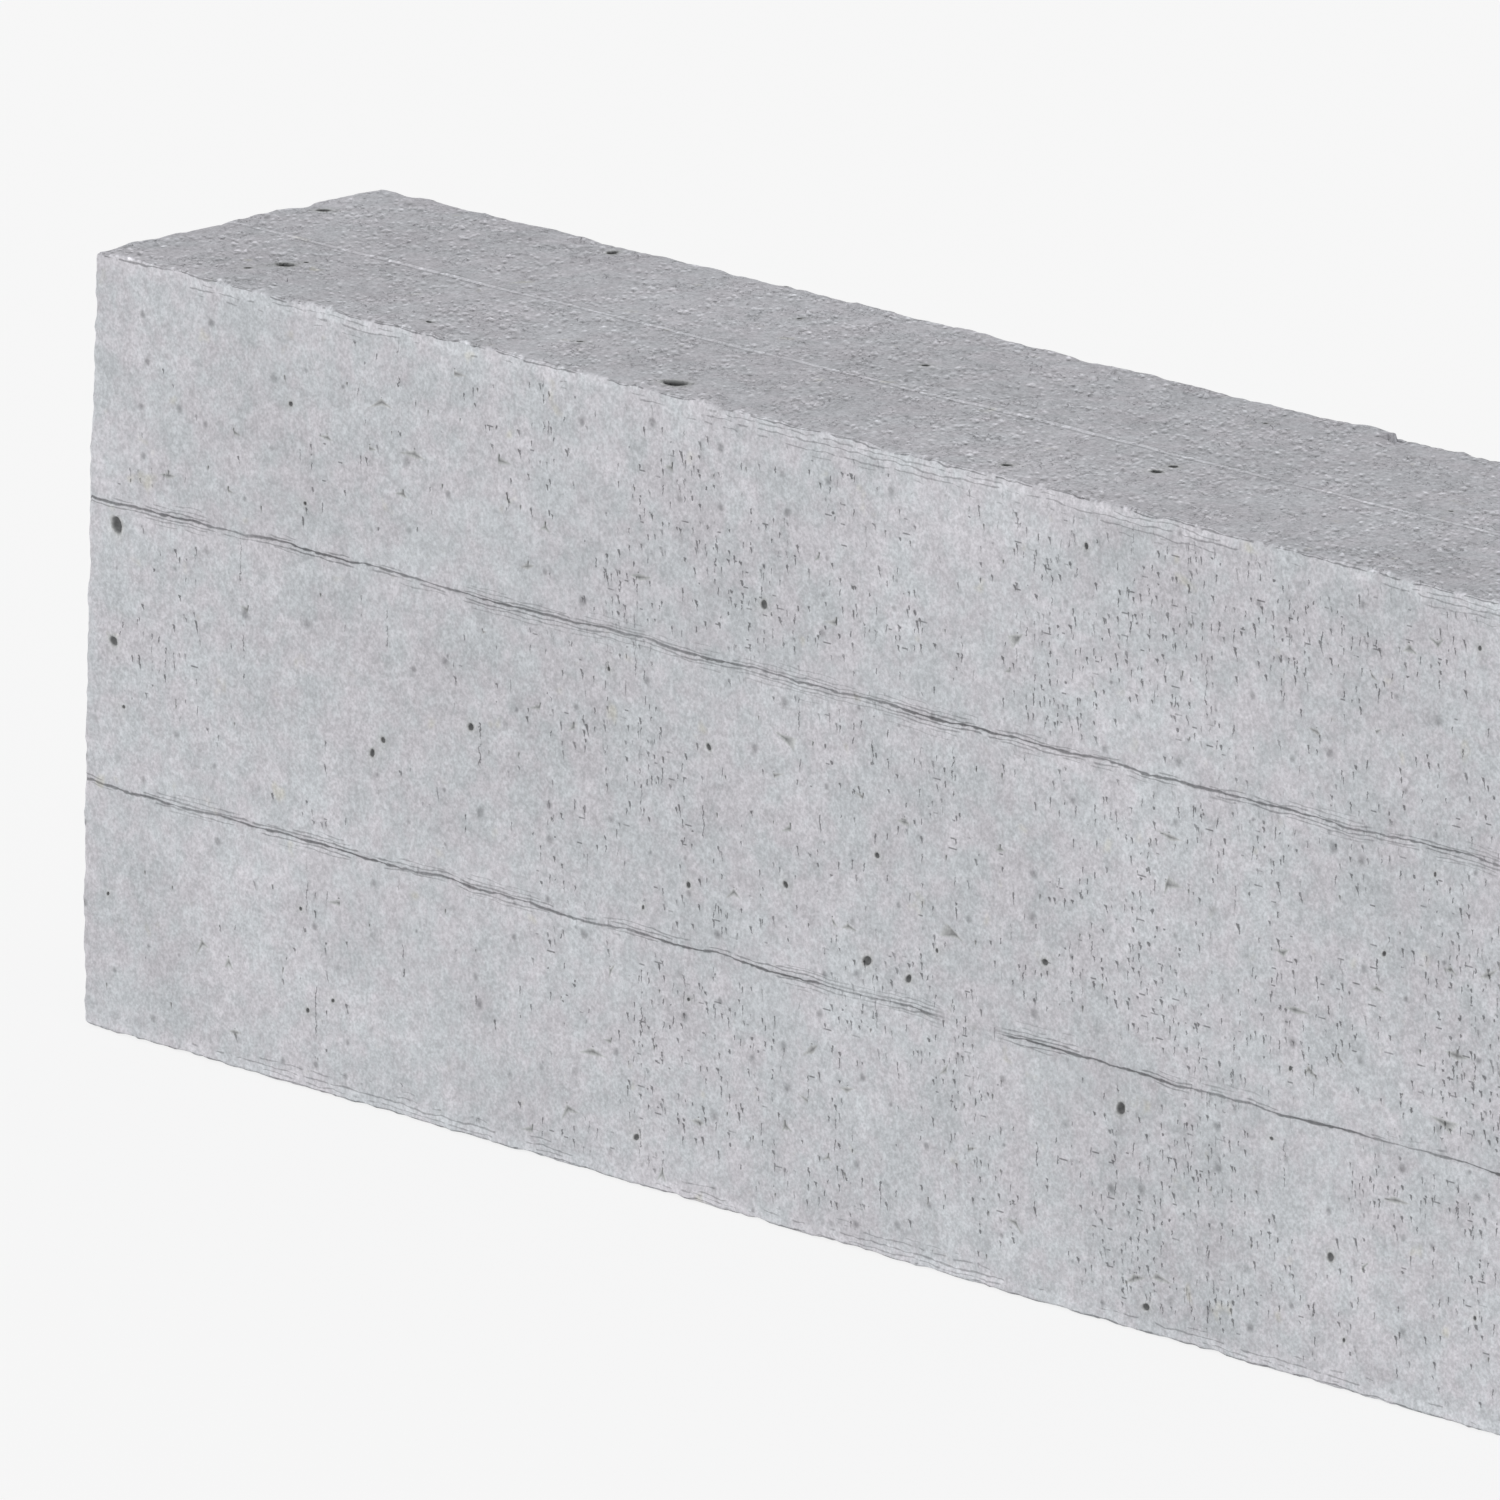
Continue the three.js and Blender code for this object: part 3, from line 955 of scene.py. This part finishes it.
    def mix(self, share, a, b):
        made = self.node("ShaderNodeMix", share, data_type="RGBA")
        self.feed(made.inputs[6], a)
        self.feed(made.inputs[7], b)
        return made.outputs[2]

    def shade(self, colour, factor):
        """The colour times a number, or times what a node gives."""
        return self.vector("SCALE", colour, scale=factor)

    def value(self, name):
        """A value stored on the mesh's points."""
        return self.node("ShaderNodeAttribute", attribute_name=name).outputs["Fac"]

    def bump(self, height, distance, strength):
        """Fine relief, height from 0 to 1 over this many millimetres."""
        made = self.node("ShaderNodeBump")
        for name, value in (("Strength", strength), ("Distance", distance * MM), ("Height", height)):
            self.feed(made.inputs[name], value)
        return made.outputs[0]


def rgb(red, green, blue):
    """A linear colour."""
    return (red, green, blue, 1.0)


def nails(s, place, size, crowd, least, ragged):
    """Dark marks like small nails: a ragged head that narrows to a thin tail below it. A crowd has more."""
    across, above, (kind, length, lean) = s.spots(size, place)
    shown = s.ramp(s.plus(kind, crowd), least, least + 0.02)
    tail = s.plus(2.4, s.product(length, size * 0.5))
    slant = s.product(s.minus(lean, 0.35), 0.5)
    down = s.product(above, -1.0)
    beside = s.minus(s.plus(across, ragged), s.product(down, slant))
    top_width = s.plus(0.60, s.product(lean, lean, 1.1))
    width = s.ramp(down, 0.0, s.product(tail, 0.5), top_width, 0.42)
    fade = s.ramp(down, s.product(tail, 0.4), tail, 1.0, 0.0)
    return s.product(s.line(beside, width), s.ramp(s.plus(down, ragged), -0.4, 0.1), fade, shown)


def painted_light_knobs(s, place, size, crowd):
    """Small knobs of painted light: above 0 on one half of each, a painted highlight, and below 0 on the
    other, painted shade.
    """
    across, above, (kind, width, _) = s.spots(size, place)
    away = s.hypot(across, above)
    radius = s.plus(0.30 * size, s.product(width, 0.16 * size))
    shown = s.ramp(s.plus(kind, crowd), 0.95, 1.15)
    body = s.ramp(away, s.product(radius, 0.4), radius, 1.0, 0.0)
    lit = s.plus(0.05, s.math("DIVIDE", s.product(above, 1.2), radius))
    return s.product(body, shown, lit)


def dashes(s, place, size, crowd, least):
    """Short dark marks that lie along the face."""
    across, above, (kind, length, _) = s.spots(size, place)
    end = s.plus(0.7, s.product(length, 2.2))
    within = s.ramp(s.math("ABSOLUTE", across), s.product(end, 0.6), end, 1.0, 0.0)
    return s.product(s.line(above, 0.6, 0.8), within, s.ramp(s.plus(kind, crowd), least, least + 0.02))


def smudges(s, place, size):
    """Soft round dark spots, where an air hole lies just under the skin."""
    across, above, (kind, width, _) = s.spots(size, place)
    away = s.hypot(across, above)
    radius = s.plus(1.2, s.product(width, 2.6))
    return s.product(s.ramp(away, 0.0, radius, 1.0, 0.0), s.ramp(kind, 0.35, 0.9))


def hairlines(s, place, size, least):
    """Fine wandering cracks that run down the face, far apart."""
    across, above, (kind, length, _) = s.spots(size, place)
    wander = s.wobble(5.0, 3.0, 3, 0.65, 30)
    reach = s.plus(3.0, s.product(length, 0.3 * size))
    within = s.ramp(s.math("ABSOLUTE", above), s.product(reach, 0.7), reach, 1.0, 0.0)
    broken = s.ramp(s.noise(3.5, 1, 0.5, 31), 0.42, 0.5)
    shown = s.ramp(kind, least, least + 0.02)
    return s.product(s.line(s.plus(across, wander), 0.55), within, broken, shown)


def strands(s, distance, place, lines, seed, spread, run, fewer=0.0):
    """Thin lines beside a seam or an arris, which wander by about spread / 4, and come and go over about run.

    Each line has its offset, its width, how much of it shows and how dark it is. The first isn't thinned out.
    """
    found = None
    thinned = s.plus(s.ramp(s.noise(55, 2, 0.5, seed + 19), 0.40, 0.60, 0.18, -0.12), fewer)
    for i, (offset, width, cover, dark) in enumerate(lines):
        away = s.minus(distance, s.plus(s.wobble(spread, 18, 3, 0.6, seed + i, place), offset))
        value = s.minus(s.noise(run, 2, 0.6, seed + 20 + i, place), thinned if i else 0.0)
        shown = s.ramp(value, 0.62 - cover * 0.3, 0.68 - cover * 0.3)
        thick = s.ramp(s.noise(4, 1, 0.5, seed + 40 + i, place), 0.35, 0.65, 0.5 * width, 1.3 * width)
        line = s.product(s.line(away, thick, dark), shown)
        found = line if found is None else s.most(found, line)
    return found


def concrete():
    """Board-marked concrete: cloudy grey paste, fine mottle, nail marks, strands beside seams and arrises,
    painted shade in the holes and along the foot, and painted light on the top's knobs.
    """
    s = Shader("board_marked_concrete")
    up = s.value("up")
    seam = s.value("seam")
    on_top = s.ramp(up, 0.3, 0.7)
    on_side = s.ramp(up, 0.3, 0.7, 1.0, 0.0)

    # A place as (along, up) on any upright face, and as (x, y) on the underside.
    x, y, z = s.parts(s.place)
    below = s.product(y, s.ramp(up, -0.7, -0.3, 1.0, 0.0))
    side_place = s.joined(s.minus(s.plus(x, y), below), s.plus(z, below))
    level_place = s.joined(x, y, s.product(z, 0.1))

    # Tone: painted shade in the holes and pocks, then wide clouds, mottle and grain down to about a
    # millimetre.
    tones = (
        (110, 3, 0.945, 1.055),
        (14, 2, 0.955, 1.045),
        (5.5, 2, 0.95, 1.05),
        (2.3, 1, 0.925, 1.075),
        (1.1, 1, 0.88, 1.12),
    )
    pit = s.value("pit")
    tone_and_painted_light = s.minus(1.0, s.product(s.ramp(pit, 0.05, 0.8), s.ramp(up, 0.3, 0.7, 0.64, 0.88)))
    for i, (size, detail, low, high) in enumerate(tones):
        tone_and_painted_light = s.product(s.ramp(s.noise(size, detail, 0.6, i), 0.3, 0.7, low, high), tone_and_painted_light)

    # Marks: nails, short dashes and hairlines, thick in some places and few near the left end.
    crowd = s.wobble(2.2, 45, 3, 0.6, 6)
    crowd = s.minus(crowd, s.ramp(x, along(120), along(330), 0.30, 0.0))
    crowd = s.minus(crowd, s.line(s.minus(x, along(4)), 22.0))
    ragged = s.wobble(1.3, 0.9, 1, 0.5, 32)
    sizes = ((10.0, 0.65), (5.8, 0.73), (3.8, 0.91))
    marks = s.most(
        *(nails(s, side_place, size, crowd, least, ragged) for size, least in sizes),
        dashes(s, side_place, 8.0, crowd, 0.86),
        hairlines(s, side_place, 42.0, 0.72),
    )
    rim = s.value("rim")
    near_seam = s.value("beside")
    clear = s.product(s.ramp(rim, 3, 13, 0.2, 1.0), s.ramp(near_seam, 0.3, 1.0, 1.0, 0.25))
    faded = s.ramp(s.noise(8, 1, 0.5, 33), 0.32, 0.58, 0.50, 1.0)
    tone_and_painted_light = s.product(tone_and_painted_light, s.ramp(s.product(marks, on_side, clear, faded), 0, 1, 1.0, 0.36))
    tone_and_painted_light = s.product(tone_and_painted_light, s.ramp(s.product(smudges(s, side_place, 18.0), on_side), 0, 1, 1.0, 0.62))

    # Strands beside each seam. On the top the seam is a pale ridge with a darker line on each side of it.
    beside_seam = (
        (0.0, 0.90, 1.5, 0.68),
        (-1.5, 0.60, 1.15, 0.48),
        (1.3, 0.55, 0.85, 0.44),
        (-2.9, 0.50, 0.8, 0.38),
        (2.7, 0.45, 0.5, 0.32),
        (-4.3, 0.45, 0.4, 0.30),
        (4.2, 0.40, 0.2, 0.28),
        (-6.4, 0.40, 0.1, 0.28),
    )
    fewer_low_down = s.ramp(z, 120, 180, 0.08, -0.03)
    seam_lines = strands(s, seam, level_place, beside_seam, 50, 3.5, 18, fewer_low_down)
    seam_lines = s.product(seam_lines, on_side, near_seam)
    tone_and_painted_light = s.product(tone_and_painted_light, s.minus(1.0, seam_lines))
    ridge_top = s.product(on_top, near_seam)
    ridge_dark = s.product(s.line(s.minus(s.math("ABSOLUTE", seam), 1.9), 0.9), ridge_top)
    ridge = s.product(s.line(seam, 2.4), ridge_top)
    tone_and_painted_light = s.product(tone_and_painted_light, s.ramp(ridge, 0, 1, 1.0, 1.26), s.ramp(ridge_dark, 0, 1, 1.0, 0.80))

    # The top is a touch darker, and embossed all over with painted light: knobs with a painted highlight and
    # painted shade at their foot, in crowds.
    knob_place = s.vector("MULTIPLY", s.turned(s.place), (1.0, 0.38, 1.0))
    crowded = s.ramp(s.noise(15, 3, 0.6, 11), 0.42, 0.60, 0.12, 1.05)
    painted_knob_light = s.plus(painted_light_knobs(s, knob_place, 4.4, crowded), painted_light_knobs(s, knob_place, 3.0, crowded))
    tone_and_painted_light = s.product(tone_and_painted_light, s.plus(s.ramp(up, 0.3, 0.7, 1.0, 0.98), s.product(painted_knob_light, on_top, 0.62)))

    # Arrises: a ragged pale band, with strands along it, and painted shade along the bottom edge.
    along_arris = (
        (0.6, 0.70, 0.7, 0.50),
        (2.8, 0.50, 0.4, 0.34),
        (4.8, 0.55, 0.6, 0.38),
        (7.4, 0.50, 0.3, 0.34),
        (9.5, 0.40, 0.0, 0.28),
    )
    under_arris = s.ramp(up, 0.75, 0.95, 1.0, 0.3)
    arris_lines = s.product(strands(s, rim, s.place, along_arris, 120, 5.0, 9), under_arris)
    tone_and_painted_light = s.product(tone_and_painted_light, s.minus(1.0, arris_lines))
    ragged = s.plus(rim, s.wobble(9.0, 7, 3, 0.6, 7))
    band = s.product(s.ramp(ragged, 3.0, 7.0, 1.0, 0.0), under_arris)
    # foot is painted shade, darkest right at the bottom edge where the block meets the floor.
    foot = s.ramp(z, 0.2, 1.8, 0.66, 1.0)
    tone_and_painted_light = s.product(tone_and_painted_light, s.ramp(band, 0, 1, 1.0, 1.10), foot)

    # Paste: a cool and a warm grey in clouds, with rare buff stains.
    cool = rgb(0.497, 0.516, 0.539)
    warm = rgb(0.526, 0.515, 0.544)
    colour = s.mix(s.ramp(s.noise(17, 3, 0.65, 8), 0.36, 0.64), cool, warm)
    colour = s.mix(s.product(on_top, 0.5), colour, rgb(0.530, 0.526, 0.560))
    stained = s.ramp(s.noise(13, 2, 0.5, 9), 0.66, 0.78, 0.0, 0.7)
    colour = s.mix(stained, colour, rgb(0.515, 0.505, 0.455))
    colour = s.mix(s.ramp(pit, 0.02, 0.25), colour, rgb(0.492, 0.500, 0.505))
    s.put(Base_Color=s.shade(colour, tone_and_painted_light))

    # Fine relief: grainy everywhere, with crowds of small pimples on the top.
    pimples = s.ramp(s.noise(2.4, 1, 0.5, 10), 0.50, 0.68)
    pimpled = s.ramp(s.noise(16, 3, 0.6, 11), 0.42, 0.58, 0.10, 1.0)
    relief = s.plus(s.product(pimples, pimpled, on_top), s.product(s.noise(1.6, 2, 0.6, 12), 0.5))
    s.put(Normal=s.bump(relief, 0.8, 0.9))
    s.put(Roughness=s.ramp(s.noise(9, 2, 0.5, 13), 0.3, 0.7, 0.78, 0.95))
    s.put(Specular_IOR_Level=0.25)
    return s.material


def rebar_steel():
    """Dark mill scale, broken by rust."""
    s = Shader("rusted_rebar_steel")
    rusted = s.ramp(s.noise(7, 5, 0.7), 0.43, 0.56)
    scale = s.mix(s.noise(2.5, 2, 0.6, 1), rgb(0.050, 0.046, 0.048), rgb(0.120, 0.100, 0.092))
    rust_share = s.ramp(s.noise(1.6, 3, 0.7, 2), 0.35, 0.65)
    rust = s.mix(rust_share, rgb(0.150, 0.055, 0.022), rgb(0.320, 0.135, 0.050))
    s.put(Base_Color=s.mix(rusted, scale, rust))
    s.put(Metallic=s.ramp(rusted, 0, 1, 0.75, 0.05))
    s.put(Roughness=s.ramp(rusted, 0, 1, 0.48, 0.90))
    s.put(Normal=s.bump(s.plus(s.noise(0.9, 3, 0.7, 3), rusted), 0.18, 0.7))
    return s.material


def galvanised_steel():
    """Zinc with a spangle of pale and dark crystals, and a few dull patches."""
    s = Shader("galvanised_steel")
    crystal = s.cells(4.5, s.place)[1][0]
    dull = s.ramp(s.noise(14, 4, 0.6, 4), 0.55, 0.68)
    zinc = s.mix(crystal, rgb(0.300, 0.318, 0.335), rgb(0.500, 0.520, 0.535))
    drawn_out = s.vector("MULTIPLY", s.place, (1.0, 1.0, 0.08))
    streaks = s.ramp(s.noise(1.0, 2, 0.6, 5, drawn_out), 0.3, 0.7, 0.92, 1.06)
    s.put(Base_Color=s.shade(s.mix(dull, zinc, rgb(0.440, 0.445, 0.440)), streaks), Metallic=0.9)
    s.put(Roughness=s.plus(s.ramp(crystal, 0, 1, 0.26, 0.42), s.product(dull, 0.25)))
    s.put(Normal=s.bump(s.plus(crystal, s.noise(1.4, 2, 0.5, 6)), 0.06, 0.5))
    return s.material


def moulded_plastic(name, dark, pale, low_roughness, high_roughness):
    """Moulded plastic with flow marks, a fine grain and a little cement dust."""
    s = Shader(name)
    flow = s.ramp(s.noise(6, 4, 0.6, 7, s.vector("MULTIPLY", s.place, (1.0, 1.0, 0.3))), 0.35, 0.65)
    dust = s.ramp(s.noise(5, 5, 0.7, 8), 0.58, 0.72, 0.0, 0.35)
    s.put(Base_Color=s.mix(dust, s.mix(flow, dark, pale), rgb(0.36, 0.36, 0.35)))
    s.put(Roughness=s.ramp(s.plus(flow, dust), 0, 1, low_roughness, high_roughness))
    s.put(Normal=s.bump(s.noise(0.7, 2, 0.6, 9), 0.08, 0.6))
    return s.material


# ---- the studio ----


FLOOR_DROP = 0.1 * MM  # keeps the floor clear of the guides' flanges
FLOOR_GLOW = 0.80
SKY_LEVEL = 0.92  # the sky's strength at the horizon
SKY_ABOVE = 0.52
KEY_STRENGTH = 0.80
KEY_ANGLE = math.radians(24)
KEY_HEIGHT = 0.63  # how high the key light stands, in radians
KEY_FROM = (-0.5, -0.866)

LENS = 458.2
CAMERA_AZIMUTH = math.radians(45.78)
CAMERA_ELEVATION = math.radians(15.09)
CAMERA_DISTANCE = 7.088
AIM_FROM_CORNER = Vector((0.2046, 0.1397, -0.1789))  # what the camera looks at, in metres


def stage():
    """A pale floor that gives its own even light, a pale sky and one soft key light from the left."""
    bpy.ops.mesh.primitive_circle_add(
        vertices=96, radius=160, fill_type="NGON", location=(0, 0, -FLOOR_DROP)
    )
    floor = bpy.context.object
    floor.name = "studio_floor"
    s = Shader("studio_floor")
    s.put(Base_Color=rgb(0.16, 0.16, 0.16), Roughness=1.0, Specular_IOR_Level=0.0)
    s.put(Emission_Color=rgb(1, 1, 1), Emission_Strength=FLOOR_GLOW)
    floor.data.materials.append(s.material)

    world = bpy.data.worlds.new("pale_sky")
    bpy.context.scene.world = world
    world.use_nodes = True
    nodes = world.node_tree.nodes
    links = world.node_tree.links
    direction = nodes.new("ShaderNodeTexCoord").outputs["Generated"]
    split = nodes.new("ShaderNodeSeparateXYZ")
    fade = nodes.new("ShaderNodeMapRange")
    links.new(direction, split.inputs[0])
    links.new(split.outputs[2], fade.inputs[0])
    for socket, number in zip(fade.inputs[1:5], (0.0, 1.0, SKY_LEVEL, SKY_ABOVE)):
        socket.default_value = number
    links.new(fade.outputs[0], nodes["Background"].inputs["Strength"])
    nodes["Background"].inputs["Color"].default_value = rgb(1, 1, 1)

    key = bpy.data.lights.new("key", "SUN")
    key.energy = KEY_STRENGTH
    key.angle = KEY_ANGLE
    key_light = add_object("key", key)
    level = math.cos(KEY_HEIGHT)
    towards = Vector((KEY_FROM[0] * level, KEY_FROM[1] * level, math.sin(KEY_HEIGHT)))
    key_light.rotation_euler = towards.to_track_quat("Z", "Y").to_euler()


def add_camera():
    """A very long lens, far off, on the block's upper left front corner."""
    corner = Vector((MOULD_LOW[0] + DRAFT[0], MOULD_LOW[1] + DRAFT[1], HEIGHT)) * MM
    level = math.cos(CAMERA_ELEVATION)
    x = math.sin(CAMERA_AZIMUTH) * level
    back = Vector((x, -math.cos(CAMERA_AZIMUTH) * level, math.sin(CAMERA_ELEVATION)))
    camera = bpy.data.cameras.new("camera")
    camera.lens = LENS
    camera.clip_end = 500
    viewer = add_object("camera", camera)
    viewer.location = corner + AIM_FROM_CORNER + CAMERA_DISTANCE * back
    viewer.rotation_euler = back.to_track_quat("Z", "Y").to_euler()
    bpy.context.scene.camera = viewer


# ---- putting it together ----


def dress(piece, material, node, body):
    """Gives a piece its material, hides the CAD node that it stands for, and attaches it to the body it rides
    on.
    """
    piece.data.materials.clear()
    piece.data.materials.append(material)
    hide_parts(node)
    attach(piece, body)


bpy.context.scene.view_settings.view_transform = "Standard"
stage()
add_camera()

block = build_block()
dress(block, concrete(), "concrete_block", "block")

rusty = rebar_steel()
makers = {"lower_bar": long_bar, "upper_bar": long_bar, "link": link, "anchor_u_bar": u_bar}
for node in sorted(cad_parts):
    for start, make in makers.items():
        if node.startswith(start):
            dress(make(node), rusty, node, "block")

zinc = galvanised_steel()
grey = moulded_plastic("grey_plastic", rgb(0.150, 0.160, 0.178), rgb(0.195, 0.205, 0.225), 0.42, 0.62)
black = moulded_plastic("black_plastic", rgb(0.010, 0.011, 0.012), rgb(0.020, 0.021, 0.022), 0.36, 0.58)
for side in ("left", "right"):
    sleeve, cap, guide, pin = anchor(side)
    dress(sleeve, grey, "anchor_sleeve_" + side, "block")
    dress(cap, black, "sleeve_cap_" + side, "block")
    dress(guide, black, "pin_guide_" + side, "block")
    dress(pin, zinc, "anchor_pin_" + side, "pin_" + side)
